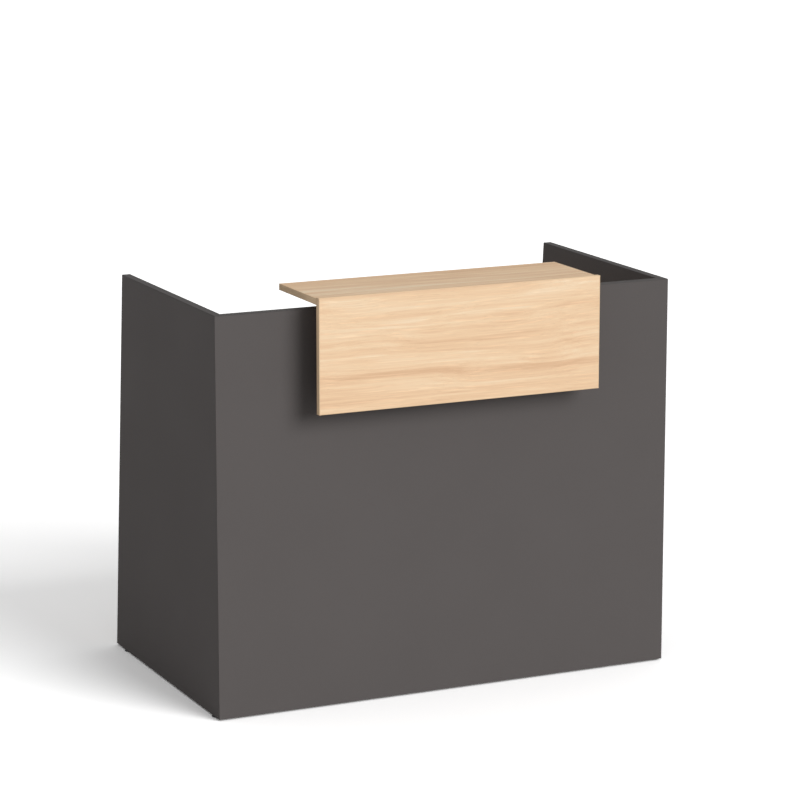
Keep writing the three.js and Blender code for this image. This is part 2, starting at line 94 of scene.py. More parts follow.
class NodeMaker:
    """Short ways to add nodes to a tree and to join them."""

    def __init__(self, tree: bpy.types.NodeTree) -> None:
        """Keeps the tree that nodes are added to, emptied."""
        self.tree = tree
        tree.nodes.clear()

    def add(self, kind: str, **settings: object) -> bpy.types.Node:
        """Adds a node.

        Args:
            kind: Blender's name of the node's type.
            settings: attributes of the node and their values.

        Returns:
            The new node.
        """
        node = self.tree.nodes.new(kind)
        for name, value in settings.items():
            setattr(node, name, value)
        return node

    def feed(self, socket: bpy.types.NodeSocket, source: Feed) -> None:
        """Joins an input to another node's output, or sets the input's own value.

        Args:
            socket: the input.
            source: the output or the value.
        """
        if isinstance(source, bpy.types.NodeSocket):
            self.tree.links.new(source, socket)
        else:
            socket.default_value = source

    def wired(self, kind: str, feeds: Feeds, **settings: object) -> bpy.types.NodeSocket:
        """Adds a node with its inputs fed.

        Args:
            kind: Blender's name of the node's type.
            feeds: the inputs' sources, in order or by name.
            settings: attributes of the node and their values.

        Returns:
            The node's first output.
        """
        node = self.add(kind, **settings)
        for key, source in feeds.items() if isinstance(feeds, dict) else enumerate(feeds):
            self.feed(node.inputs[key], source)
        return node.outputs[0]

    def show(self, kind: str, surface: bpy.types.NodeSocket) -> None:
        """Adds an output node of a kind and gives it its surface."""
        self.feed(self.add(kind).inputs["Surface"], surface)

    def maths(self, operation: str, *terms: Feed, clamp: bool = False) -> bpy.types.NodeSocket:
        """Adds a Math node, with its result kept from 0 to 1 if asked, and returns its output."""
        return self.wired("ShaderNodeMath", terms, operation=operation, use_clamp=clamp)

    def vector_maths(self, operation: str, *terms: Feed) -> bpy.types.NodeSocket:
        """Adds a Vector Math node and returns its vector."""
        return self.wired("ShaderNodeVectorMath", terms, operation=operation)

    def dot(self, first: Feed, second: Feed) -> bpy.types.NodeSocket:
        """Adds a dot product and returns its value."""
        return self.vector_maths("DOT_PRODUCT", first, second).node.outputs["Value"]

    def vector(self, x: Feed, y: Feed, z: Feed) -> bpy.types.NodeSocket:
        """Adds a Combine XYZ node and returns its vector."""
        return self.wired("ShaderNodeCombineXYZ", (x, y, z))


class Shader(NodeMaker):
    """A material whose surface is one Principled shader fed by procedural patterns."""

    def __init__(self, name: str, metallic: float = 0.0, specular: float = 0.5) -> None:
        """Starts a material.

        Args:
            name: the material's name.
            metallic: the shader's metallic value.
            specular: the shader's specular level.
        """
        self.material = bpy.data.materials.new(name)
        self.material.use_nodes = True
        super().__init__(self.material.node_tree)
        feeds = {"Metallic": metallic, "Specular IOR Level": specular}
        surface = self.wired("ShaderNodeBsdfPrincipled", feeds)
        self.shader = surface.node
        self.show("ShaderNodeOutputMaterial", surface)
        self.place = self.add("ShaderNodeTexCoord").outputs["Object"]

    def scaled(self, scale: Sequence[float], place: Feed | None = None) -> bpy.types.NodeSocket:
        """Returns a place, by default the object's own, times a scale along each axis."""
        return self.vector_maths("MULTIPLY", self.place if place is None else place, scale)

    def noise(self, place: Feed, detail: float = 2.0, roughness: float = 0.5) -> bpy.types.NodeSocket:
        """Adds smooth noise with features a unit across and returns its value, mostly 0.25 to 0.75."""
        feeds = {"Vector": place, "Scale": 1.0, "Detail": detail, "Roughness": roughness}
        return self.wired("ShaderNodeTexNoise", feeds)

    def spread(
        self, value: Feed, low: float, high: float, at: Span = NOISE_RANGE
    ) -> bpy.types.NodeSocket:
        """Returns a value mapped from two levels, by default noise's own, to low and high, held there."""
        return self.wired("ShaderNodeMapRange", (value, *at, low, high))

    def ramp(self, value: Feed, stops: Sequence[tuple[float, Colour]]) -> bpy.types.NodeSocket:
        """Turns a value into a colour.

        Args:
            value: what picks the colour.
            stops: positions from 0 to 1 and the colours there.

        Returns:
            The colour.
        """
        node = self.add("ShaderNodeValToRGB")
        self.feed(node.inputs[0], value)
        elements = node.color_ramp.elements
        while len(elements) < len(stops):
            elements.new(1.0)
        for element, (position, colour) in zip(elements, stops):
            element.position = position
            element.color = (*colour, 1.0)
        return node.outputs["Color"]

    def shade(self, colour: Feed, factor: Feed) -> bpy.types.NodeSocket:
        """Returns a colour made lighter or darker by a factor."""
        return self.wired("ShaderNodeVectorMath", {"Vector": colour, "Scale": factor}, operation="SCALE")

    def edge_mask(self, radius: float) -> bpy.types.NodeSocket:
        """Finds the piece's arrises.

        Args:
            radius: how far from an arris the mask reaches.

        Returns:
            A value that rises from 0 on a flat to 1 at an arris.
        """
        soft = self.wired("ShaderNodeBevel", {"Radius": radius}, samples=EDGE_SAMPLES)
        flat = self.add("ShaderNodeNewGeometry").outputs["Normal"]
        return self.spread(self.dot(soft, flat), 1.0, 0.0, EDGE_RANGE)

    def finish(self, colour: Feed, roughness: Feed, height: Feed, relief: float) -> bpy.types.Material:
        """Feeds the shader.

        Args:
            colour: the base colour.
            roughness: the roughness.
            height: a pattern for the surface's relief.
            relief: the depth of that relief in metres.

        Returns:
            The finished material.
        """
        bump = self.wired("ShaderNodeBump", {"Strength": 1.0, "Distance": relief, "Height": height})
        for label, source in (("Base Color", colour), ("Roughness", roughness), ("Normal", bump)):
            self.feed(self.shader.inputs[label], source)
        return self.material


@dataclass(frozen=True)
class Melamine:
    """Plain melamine face: a matt colour with a fine pearl relief, and a painted highlight along its
    arrises.
    """

    name: str
    colour: Colour
    gloss: Span = (0.56, 0.64)
    specular: float = 0.02
    pearl: float = 900.0
    pearl_tone: Span = (0.96, 1.04)
    cloud: float = 5.0
    cloud_octaves: float = 3.0
    cloud_tone: Span = (0.985, 1.015)
    relief: float = 0.00006
    edge_radius: float = 0.0012
    # How much the arrises are lightened as a painted highlight.
    edge_lift: float = 0.08

    def material(self) -> bpy.types.Material:
        """Makes the board's material.

        Returns:
            The material.
        """
        shader = Shader(self.name, specular=self.specular)
        pearl = shader.noise(shader.scaled((self.pearl,) * 3))
        cloud = shader.noise(shader.scaled((self.cloud,) * 3), self.cloud_octaves)
        fine, broad = shader.spread(pearl, *self.pearl_tone), shader.spread(cloud, *self.cloud_tone)
        tone = shader.maths("MULTIPLY", fine, broad)
        # Painted highlight: the colour is lightened along the arrises, where light would catch the edge.
        arris_highlight = shader.maths("MULTIPLY_ADD", shader.edge_mask(self.edge_radius), self.edge_lift, tone)
        gloss = shader.spread(cloud, *self.gloss)
        return shader.finish(shader.shade(self.colour, arris_highlight), gloss, pearl, self.relief)


@dataclass(frozen=True)
class GrainLayer:
    """One layer of a wood figure: its features' length and width, its weight and its octaves of noise."""

    length: float
    width: float
    weight: float
    octaves: float


@dataclass(frozen=True)
class WoodDecor:
    """Light wood decor: flowing bands, streaks, fibres, pores and light flecks along the grain."""

    name: str
    stops: tuple[tuple[float, Colour], ...]
    grain: Axis = Axis.X
    start: Colour = (2.59, 3.71, 4.97)
    gloss: Span = (0.45, 0.56)
    specular: float = 0.03
    flow: GrainLayer = GrainLayer(0.6, 0.16, 0.036, 1.5)
    band: GrainLayer = GrainLayer(1.6, 0.036, 0.46, 1.0)
    streak: GrainLayer = GrainLayer(0.5, 0.0095, 0.33, 1.5)
    fibre: GrainLayer = GrainLayer(0.22, 0.0019, 0.21, 2.5)
    pore: GrainLayer = GrainLayer(0.05, 0.0008, 0.11, 1.0)
    pore_range: Span = (0.62, 0.72)
    fleck: GrainLayer = GrainLayer(0.09, 0.0042, 0.07, 1.0)
    fleck_range: Span = (0.58, 0.7)
    sharpness: float = 0.55
    contrast: Span = (0.36, 0.64)
    relief: float = 0.00004

    def pattern(self, shader: Shader, place: Feed, layer: GrainLayer) -> bpy.types.NodeSocket:
        """Adds the noise of one layer of the figure, read at a place, and returns its value."""
        scale = self.grain.stretch(1 / layer.length, 1 / layer.width)
        return shader.noise(shader.scaled(scale, place), layer.octaves, self.sharpness)

    def material(self) -> bpy.types.Material:
        """Makes the decor's material.

        Returns:
            The material.
        """
        shader = Shader(self.name, specular=self.specular)
        start = shader.vector_maths("ADD", shader.place, self.start)
        drift = shader.maths("SUBTRACT", self.pattern(shader, start, self.flow), 0.5)
        across = Vector((1, 1, 1)) - self.grain.value
        shift = shader.shade(across, shader.maths("MULTIPLY", drift, 2 * self.flow.weight))
        place = shader.vector_maths("ADD", start, shift)
        figure: Feed = 0.0
        for layer in (self.band, self.streak, self.fibre):
            fibres = self.pattern(shader, place, layer)
            figure = shader.maths("MULTIPLY_ADD", fibres, layer.weight, figure)
        tint = shader.ramp(shader.spread(figure, 0.0, 1.0, self.contrast), self.stops)
        pores = shader.spread(self.pattern(shader, place, self.pore), 0.0, 1.0, self.pore_range)
        flecks = shader.spread(self.pattern(shader, place, self.fleck), 0.0, 1.0, self.fleck_range)
        tone = shader.maths("MULTIPLY_ADD", flecks, self.fleck.weight, 1.0)
        colour = shader.shade(tint, shader.maths("MULTIPLY_ADD", pores, -self.pore.weight, tone))
        gloss = shader.spread(fibres, *self.gloss)
        return shader.finish(colour, gloss, shader.maths("SUBTRACT", fibres, pores), self.relief)


@dataclass(frozen=True)
class Plywood:
    """Raw plywood with thin plies, for the loose tongues."""

    name: str
    light: Colour
    dark: Colour
    plies: float = 900.0
    run: float = 6.0
    roughness: float = 0.8
    relief: float = 0.0001

    def material(self) -> bpy.types.Material:
        """Makes the plywood's material.

        Returns:
            The material.
        """
        shader = Shader(self.name, specular=0.2)
        layers = shader.noise(shader.scaled(Axis.Z.stretch(self.run, self.plies)), detail=1.0)
        colour = shader.ramp(layers, ((0.35, self.dark), (0.6, self.light)))
        return shader.finish(colour, self.roughness, layers, self.relief)


@dataclass(frozen=True)
class PlatedSteel:
    """Bright zinc plating on pressed steel, with faint rolling marks, cloudy passivation, and arrises
    lightened partly by rubbing and partly as a painted highlight.
    """

    name: str
    bright: Colour
    dull: Colour
    gloss: Span = (0.34, 0.54)
    cloud: float = 70.0
    marks: float = 1800.0
    mark_run: float = 90.0
    relief: float = 0.00002
    edge_radius: float = 0.0007
    # How much the arrises are lightened, partly as rubbed plating and partly as a painted highlight.
    edge_lift: float = 0.22

    def material(self) -> bpy.types.Material:
        """Makes the plating's material.

        Returns:
            The material.
        """
        shader = Shader(self.name, metallic=1.0)
        cloud = shader.noise(shader.scaled((self.cloud,) * 3), detail=4.0, roughness=0.6)
        marks = shader.noise(shader.scaled(Axis.Z.stretch(self.mark_run, self.marks)))
        tint = shader.ramp(cloud, ((0.35, self.dull), (0.65, self.bright)))
        # The arrises are lightened, partly as rubbed plating and partly as a painted highlight.
        rubbed_and_highlighted = shader.maths("MULTIPLY_ADD", shader.edge_mask(self.edge_radius), self.edge_lift, 1.0)
        gloss = shader.spread(cloud, *self.gloss)
        return shader.finish(shader.shade(tint, rubbed_and_highlighted), gloss, marks, self.relief)


@dataclass(frozen=True)
class Anodised:
    """Satin anodised aluminium, with turning marks round the piece's axis."""

    name: str
    colour: Colour
    axis: Axis
    gloss: Span = (0.27, 0.40)
    rings: float = 2600.0
    ring_run: float = 12.0
    tone: Span = (0.94, 1.05)
    relief: float = 0.00002

    def material(self) -> bpy.types.Material:
        """Makes the aluminium's material.

        Returns:
            The material.
        """
        shader = Shader(self.name, metallic=1.0)
        rings = shader.noise(shader.scaled(self.axis.stretch(self.rings, self.ring_run)))
        tone = shader.spread(rings, *self.tone)
        gloss = shader.spread(rings, *self.gloss)
        return shader.finish(shader.shade(self.colour, tone), gloss, rings, self.relief)


@dataclass(frozen=True)
class MouldedPlastic:
    """Moulded plastic with a spark-eroded grain, and arrises lightened partly by scuffs and partly as a
    painted highlight.
    """

    name: str
    colour: Colour
    # The lighter colour at the arrises: partly scuffed plastic, partly a painted highlight.
    scuffed_highlight: Colour
    gloss: Span = (0.46, 0.62)
    grain: float = 1300.0
    scuff: float = 60.0
    relief: float = 0.00008
    edge_radius: float = 0.0008

    def material(self) -> bpy.types.Material:
        """Makes the plastic's material.

        Returns:
            The material.
        """
        shader = Shader(self.name, specular=0.4)
        grain = shader.noise(shader.scaled((self.grain,) * 3), detail=3.0, roughness=0.6)
        scuffs = shader.noise(shader.scaled((self.scuff,) * 3), detail=4.0, roughness=0.6)
        # Lightens the arrises in patches: partly scuffs, partly a painted highlight.
        scuff_and_highlight = shader.maths("MULTIPLY", shader.edge_mask(self.edge_radius), scuffs, clamp=True)
        colour = shader.ramp(scuff_and_highlight, ((0.05, self.colour), (0.8, self.scuffed_highlight)))
        return shader.finish(colour, shader.spread(scuffs, *self.gloss), grain, self.relief)


WOOD_STOPS = (
    (0.0, (0.785, 0.515, 0.320)),
    (0.25, (0.862, 0.590, 0.374)),
    (0.5, (0.908, 0.647, 0.418)),
    (0.75, (0.942, 0.704, 0.472)),
    (1.0, (0.972, 0.772, 0.555)),
)
WOOD_EDGE_STOPS = (
    (0.0, (0.820, 0.555, 0.350)),
    (0.5, (0.915, 0.660, 0.425)),
    (1.0, (0.960, 0.725, 0.475)),
)


class Palette:
    """The desk's materials, made once and shared by its pieces."""

    def __init__(self) -> None:
        """Makes every material."""
        self.charcoal_board = Melamine("charcoal_board", (0.1185, 0.108, 0.1055)).material()
        self.charcoal_edging = Melamine(
            "charcoal_edging", (0.099, 0.092, 0.090), gloss=(0.51, 0.59), relief=0.00003
        ).material()
        self.wood_board = WoodDecor("wood_board", WOOD_STOPS).material()
        self.wood_edging = {
            axis: WoodDecor(f"wood_edging_{axis.name.lower()}", WOOD_EDGE_STOPS, axis).material()
            for axis in Axis
        }
        self.plywood = Plywood("plywood", (0.6, 0.42, 0.24), (0.4, 0.25, 0.12)).material()
        self.zinc = PlatedSteel("zinc_steel", (0.62, 0.63, 0.65), (0.47, 0.48, 0.49)).material()
        self.anodised = {
            axis: Anodised(f"satin_aluminium_{axis.name.lower()}", (0.6, 0.61, 0.62), axis).material()
            for axis in (Axis.Y, Axis.Z)
        }
        self.plastic = MouldedPlastic("black_plastic", (0.019, 0.019, 0.020), (0.06, 0.06, 0.062)).material()


def dress(material: bpy.types.Material, *names: str) -> None:
    """Gives CAD nodes their finish.

    Args:
        material: the finish.
        names: the nodes' names.
    """
    for name in names:
        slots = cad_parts[name].data.materials
        slots.clear()
        slots.append(material)
        log.info("dressed %s with %s", name, material.name)


def new_piece(mesh: bpy.types.Mesh, body: str, slot: str, *stands_for: str) -> None:
    """Puts a finished mesh into the scene as a piece of the desk.

    Args:
        mesh: the piece's mesh, in place and with its material and name.
        body: the CAD body that it rides on.
        slot: the record's material slot; not used.
        stands_for: the CAD nodes that it is shown for.
    """
    piece = bpy.data.objects.new(mesh.name, mesh)
    bpy.context.scene.collection.objects.link(piece)
    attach(piece, body)
    if stands_for:
        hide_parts(*stands_for)
    log.info("built %s with %d faces", mesh.name, len(mesh.polygons))


def mesh_of(form: bmesh.types.BMesh, name: str, material: bpy.types.Material) -> bpy.types.Mesh:
    """Turns a form into a mesh that is smooth up to the crease angle.

    Args:
        form: the form, which is freed.
        name: the mesh's name.
        material: the mesh's only material.

    Returns:
        The mesh.
    """
    bmesh.ops.recalc_face_normals(form, faces=form.faces)
    mesh = bpy.data.meshes.new(name)
    form.to_mesh(mesh)
    form.free()
    mesh.shade_smooth()
    mesh.set_sharp_from_angle(angle=math.radians(CREASE))
    mesh.materials.append(material)
    return mesh


def plan_middle(low: Vector, high: Vector, height: float) -> Vector:
    """Returns the middle of a box seen from above, at a height."""
    return Vector(((low.x + high.x) / 2, (low.y + high.y) / 2, height))


def rounded(profile: Profile, radius: float, steps: int = 4) -> Profile:
    """Rounds the corners of a profile.

    Args:
        profile: radius and height pairs, open at both ends.
        radius: the largest corner radius; short sides get less.
        steps: facets on each corner.

    Returns:
        The profile with each inner corner as an arc.
    """
    points = [Vector(point) for point in profile]
    result = [points[0]]
    for before, corner, after in zip(points, points[1:], points[2:]):
        back, ahead = before - corner, after - corner
        reach = min(radius, CORNER_SHARE * back.length, CORNER_SHARE * ahead.length)
        start, end = corner + back.normalized() * reach, corner + ahead.normalized() * reach
        for step in range(steps + 1):
            share = step / steps
            first, second = start.lerp(corner, share), corner.lerp(end, share)
            result.append(first.lerp(second, share))
    return [tuple(point) for point in result + [points[-1]]]


def turned(profile: Profile, centre: Vector, axis: Axis, segments: int = 72) -> bmesh.types.BMesh:
    """Turns a profile about an axis.

    Args:
        profile: radius and height pairs; a pair with no radius is a pole.
        centre: the point of the axis at height 0.
        axis: the direction of growing height.
        segments: facets round the axis.

    Returns:
        The turned form.
    """
    form = bmesh.new()
    turn = Vector((0, 0, 1)).rotation_difference(axis.value).to_matrix()
    rings = []
    for radius, height in profile:
        count = segments if radius > 0 else 1
        angles = [2 * math.pi * step / segments for step in range(count)]
        points = [Vector((radius * math.cos(a), radius * math.sin(a), height)) for a in angles]
        rings.append([form.verts.new(centre + turn @ point) for point in points])
    for lower, upper in zip(rings, rings[1:]):
        for step in range(segments):
            following = (step + 1) % segments
            corners = [
                lower[step % len(lower)],
                lower[following % len(lower)],
                upper[following % len(upper)],
                upper[step % len(upper)],
            ]
            distinct = list(dict.fromkeys(corners))
            if len(distinct) > 2:
                form.faces.new(distinct)
    bmesh.ops.remove_doubles(form, verts=form.verts, dist=MERGE_DISTANCE)
    return form


class NodeModifier(NodeMaker):
    """A Geometry Nodes tree with named inputs, run once to give a plain mesh."""

    def __init__(self, name: str, inputs: dict[str, float | Vector | bpy.types.Material]) -> None:
        """Starts a tree.

        Args:
            name: the tree's name.
            inputs: each named input's value.
        """
        super().__init__(bpy.data.node_groups.new(name, "GeometryNodeTree"))
        interface = self.tree.interface
        interface.new_socket("Geometry", in_out="INPUT", socket_type="NodeSocketGeometry")
        self.values = {}
        for label, value in inputs.items():
            socket = interface.new_socket(label, in_out="INPUT", socket_type=SOCKET_KINDS[type(value)])
            self.values[socket.identifier] = value
        interface.new_socket("Geometry", in_out="OUTPUT", socket_type="NodeSocketGeometry")
        self.given = self.add("NodeGroupInput").outputs
        self.result = self.add("NodeGroupOutput").inputs[0]

    def end(self, geometry: bpy.types.NodeSocket, crease: float) -> None:
        """Realises the geometry, sets its shading and material and gives it to the output.

        Args:
            geometry: what the tree makes.
            crease: edges sharper than this many degrees stay sharp.
        """
        real = self.wired("GeometryNodeRealizeInstances", (geometry,))
        smooth = self.wired("GeometryNodeSetShadeSmooth", {"Geometry": real}, domain="FACE")
        angle = self.add("GeometryNodeInputMeshEdgeAngle").outputs["Unsigned Angle"]
        limit = {"A": angle, "B": math.radians(crease)}
        soft = self.wired("FunctionNodeCompare", limit, data_type="FLOAT", operation="LESS_THAN")
        feeds = {"Geometry": smooth, "Shade Smooth": soft}
        edges = self.wired("GeometryNodeSetShadeSmooth", feeds, domain="EDGE")
        feeds = {"Geometry": edges, "Material": self.given["Material"]}
        self.feed(self.result, self.wired("GeometryNodeSetMaterial", feeds))

    def join(self, *parts: bpy.types.NodeSocket) -> bpy.types.NodeSocket:
        """Joins geometries.

        Args:
            parts: the geometries, in order.

        Returns:
            The whole.
        """
        node = self.add("GeometryNodeJoinGeometry")
        for part in parts:
            self.feed(node.inputs[0], part)
        return node.outputs[0]

    def run(self, name: str, base: bpy.types.Mesh) -> bpy.types.Mesh:
        """Runs the tree on a mesh.

        Args:
            name: the new mesh's name.
            base: the mesh that the tree is given.

        Returns:
            The result as a plain mesh.
        """
        carrier = bpy.data.objects.new(name, base)
        bpy.context.scene.collection.objects.link(carrier)
        modifier = carrier.modifiers.new(name, "NODES")
        modifier.node_group = self.tree
        for identifier, value in self.values.items():
            modifier[identifier] = value
        graph = bpy.context.evaluated_depsgraph_get()
        mesh = bpy.data.meshes.new_from_object(carrier.evaluated_get(graph))
        mesh.name = name
        carrier.modifiers.clear()
        bpy.data.objects.remove(carrier)
        return mesh


@dataclass
class Screws:
    """Domed screws set on faces, each with a recess in its head and the start of its shank."""

    name: str
    drive: Drive
    head_radius: float
    head_height: float
    shank_radius: float
    shank_length: float
    recess_reach: float
    recess_depth: float
    recess_width: float = 0.0011
    head_segments: int = 24
    head_rings: int = 16
    shank_segments: int = 20
    cutter_spread: float = 2.2
    seats: list[tuple[Vector, Vector]] = field(default_factory=list)

    def tree(self, material: bpy.types.Material) -> NodeModifier:
        """Builds the tree that makes one screw and sets it on every seat.

        Args:
            material: the screws' finish.

        Returns:
            The tree.
        """
        maker = NodeModifier(self.name, {
            "Head Radius": self.head_radius,
            "Head Height": self.head_height,
            "Shank Radius": self.shank_radius,
            "Shank Length": self.shank_length,
            "Recess Reach": self.recess_reach,
            "Recess Depth": self.recess_depth,
            "Recess Width": self.recess_width,
            "Material": material,
        })
        given = maker.given
        dome = maker.wired("GeometryNodeMeshUVSphere", {
            "Segments": self.head_segments, "Rings": self.head_rings, "Radius": given["Head Radius"],
        })
        flatten = maker.vector(1.0, 1.0, maker.maths("DIVIDE", given["Head Height"], given["Head Radius"]))
        side = maker.maths("MULTIPLY", given["Head Radius"], self.cutter_spread)
        middle = maker.maths("MULTIPLY", given["Head Height"], 0.5)
        upper = self.block(maker, (side, side, given["Head Height"]), middle)
        head = self.boolean(maker, "INTERSECT", self.moved(maker, dome, scale=flatten), upper)
        head = self.boolean(maker, "DIFFERENCE", head, self.recess(maker))
        shank = maker.wired("GeometryNodeMeshCylinder", {
            "Vertices": self.shank_segments, "Radius": given["Shank Radius"], "Depth": given["Shank Length"],
        })
        down = maker.vector(0.0, 0.0, maker.maths("MULTIPLY", given["Shank Length"], -0.5))
        screw = maker.join(head, self.moved(maker, shank, shift=down))
        facing = maker.wired("GeometryNodeInputNamedAttribute", {"Name": "facing"}, data_type="FLOAT_VECTOR")
        turn = maker.wired("FunctionNodeAlignRotationToVector", {"Vector": facing}, axis="Z")
        feeds = {"Points": given["Geometry"], "Instance": screw, "Rotation": turn}
        maker.end(maker.wired("GeometryNodeInstanceOnPoints", feeds), CREASE)
        return maker

    def moved(
        self,
        maker: NodeModifier,
        geometry: bpy.types.NodeSocket,
        shift: Feed = (0.0, 0.0, 0.0),
        scale: Feed = (1.0, 1.0, 1.0),
    ) -> bpy.types.NodeSocket:
        """Returns the geometry scaled and then shifted."""
        feeds = {"Geometry": geometry, "Translation": shift, "Scale": scale}
        return maker.wired("GeometryNodeTransform", feeds)

    def boolean(
        self, maker: NodeModifier, operation: str, first: bpy.types.NodeSocket, second: bpy.types.NodeSocket
    ) -> bpy.types.NodeSocket:
        """Adds a Mesh Boolean node.

        Args:
            maker: the tree.
            operation: the node's operation.
            first: the mesh that is cut, or one of two equals.
            second: the cutter, or the other mesh.

        Returns:
            The resulting mesh.
        """
        node = maker.add("GeometryNodeMeshBoolean", operation=operation, solver="EXACT")
        maker.feed(node.inputs["Mesh 1" if operation == "DIFFERENCE" else "Mesh 2"], first)
        maker.feed(node.inputs["Mesh 2"], second)
        return node.outputs[0]

    def block(self, maker: NodeModifier, sides: Sequence[Feed], height: Feed) -> bpy.types.NodeSocket:
        """Returns a block of three sizes on the screw's axis, with its middle at a height over the seat."""
        cube = maker.wired("GeometryNodeMeshCube", {"Size": maker.vector(*sides)})
        return self.moved(maker, cube, shift=maker.vector(0.0, 0.0, height))

    def recess(self, maker: NodeModifier) -> bpy.types.NodeSocket:
        """Makes the cutter for the recess in the head.

        Args:
            maker: the tree.

        Returns:
            A cross of two blocks or a hexagonal bar, reaching past the top of the head.
        """
        given = maker.given
        top = given["Head Height"]
        deep = maker.maths("MULTIPLY", given["Recess Depth"], 2.0)
        if self.drive is Drive.HEXAGON:
            bar = maker.wired("GeometryNodeMeshCylinder", {
                "Vertices": self.drive.value, "Radius": given["Recess Reach"], "Depth": deep,
            })
            return self.moved(maker, bar, shift=maker.vector(0.0, 0.0, top))
        long, narrow = maker.maths("MULTIPLY", given["Recess Reach"], 2.0), given["Recess Width"]
        slots = [self.block(maker, sides, top) for sides in ((long, narrow, deep), (narrow, long, deep))]
        return self.boolean(maker, "UNION", *slots)

    def build(self, material: bpy.types.Material) -> bpy.types.Mesh:
        """Makes all the screws as one mesh.

        Args:
            material: their finish.

        Returns:
            The mesh.
        """
        base = bpy.data.meshes.new(f"{self.name}_seats")
        base.from_pydata([seat for seat, _ in self.seats], [], [])
        facing = base.attributes.new("facing", "FLOAT_VECTOR", "POINT")
        for item, (_, normal) in zip(facing.data, self.seats):
            item.vector = normal
        return self.tree(material).run(self.name, base)


@dataclass
class Carcass:
    """The front panel and the two side panels, with their edging and the tongues in their mitres."""

    palette: Palette

    def dress(self) -> None:
        """Gives the boards, the edging and the tongues their finishes."""
        dress(self.palette.charcoal_board, "front_panel", *(f"side_panel_{end}" for end in ENDS))
        strips = [f"side_{edge}_edging_{end}" for edge in ("top", "rear") for end in ENDS]
        dress(self.palette.charcoal_edging, "front_panel_edging", *strips)
        dress(self.palette.plywood, *(f"corner_tongue_{end}" for end in ENDS))


@dataclass
class Brackets:
    """Pressed angle brackets in the corners and under the worktop, each held by four screws."""

    palette: Palette
    softening: float = 0.0004
    gauge: float = 0.003
    hole_inset: float = 0.014
    hole_pitch: float = 0.024
    flat_angle: float = math.radians(1)
    sharp_angle: float = math.radians(40)
    screws: Screws = field(default_factory=lambda: Screws(
        "bracket_screws", Drive.CROSS, head_radius=0.0045, head_height=0.0026,
        shank_radius=0.0022, shank_length=0.003, recess_reach=0.0024, recess_depth=0.0017,
    ))

    def names(self) -> list[str]:
        """Lists the brackets.

        Returns:
            Their nodes' names.
        """
        corners = [f"corner_bracket_{end}_{level}" for end in ENDS for level in ("lower", "upper")]
        sides = [f"worktop_bracket_{end}_{row}" for end in ENDS for row in ("front", "rear")]
        return corners + sides + [f"worktop_bracket_front_{end}" for end in ENDS]

    def legs(self, name: str) -> tuple[Vector, Vector]:
        """Finds the directions of a bracket's two legs from the piece that it is fixed to.

        Args:
            name: the bracket's node.

        Returns:
            The directions of its legs, from the bend outwards.
        """
        side = Vector((-1 if "right" in name else 1, 0, 0))
        if name.startswith("corner"):
            return side, Vector((0, 1, 0))
        down = Vector((0, 0, -1))
        return (Vector((0, 1, 0)) if "bracket_front" in name else side), down

    def seats(self, name: str) -> list[tuple[Vector, Vector]]:
        """Works out where a bracket's screws sit.

        Args:
            name: the bracket's node.

        Returns:
            Each screw's seat on the bracket and the direction that its head faces.
        """
        low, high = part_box(name)
        first, second = self.legs(name)
        width = first.cross(second)
        lean = first + second
        bend = Vector([(low[i] * (1 + lean[i]) + high[i] * (1 - lean[i])) / 2 for i in range(3)])
        found = []
        for along, out in ((first, second), (second, first)):
            leg = abs((high - low).dot(along))
            for side in (-1, 1):
                seat = bend + along * (leg - self.hole_inset) + out * self.gauge
                found.append((seat + width * side * self.hole_pitch / 2, out))
        return found

    def build(self) -> None:
        """Makes a softened bracket for each CAD one, and all the screws."""
        for name in self.names():
            form = bmesh.new()
            form.from_mesh(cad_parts[name].data)
            bmesh.ops.remove_doubles(form, verts=form.verts, dist=MERGE_DISTANCE)
            bmesh.ops.dissolve_limit(
                form, angle_limit=self.flat_angle, verts=form.verts, edges=form.edges
            )
            sharp = [edge for edge in form.edges if edge.calc_face_angle(0.0) > self.sharp_angle]
            bmesh.ops.bevel(
                form, geom=sharp, offset=self.softening, segments=2, affect="EDGES", clamp_overlap=True
            )
            mesh = mesh_of(form, f"{name}_pressed", self.palette.zinc)
            new_piece(mesh, ROOT, "zinc_steel", name)
            self.screws.seats += self.seats(name)
        new_piece(self.screws.build(self.palette.zinc), ROOT, "zinc_steel")


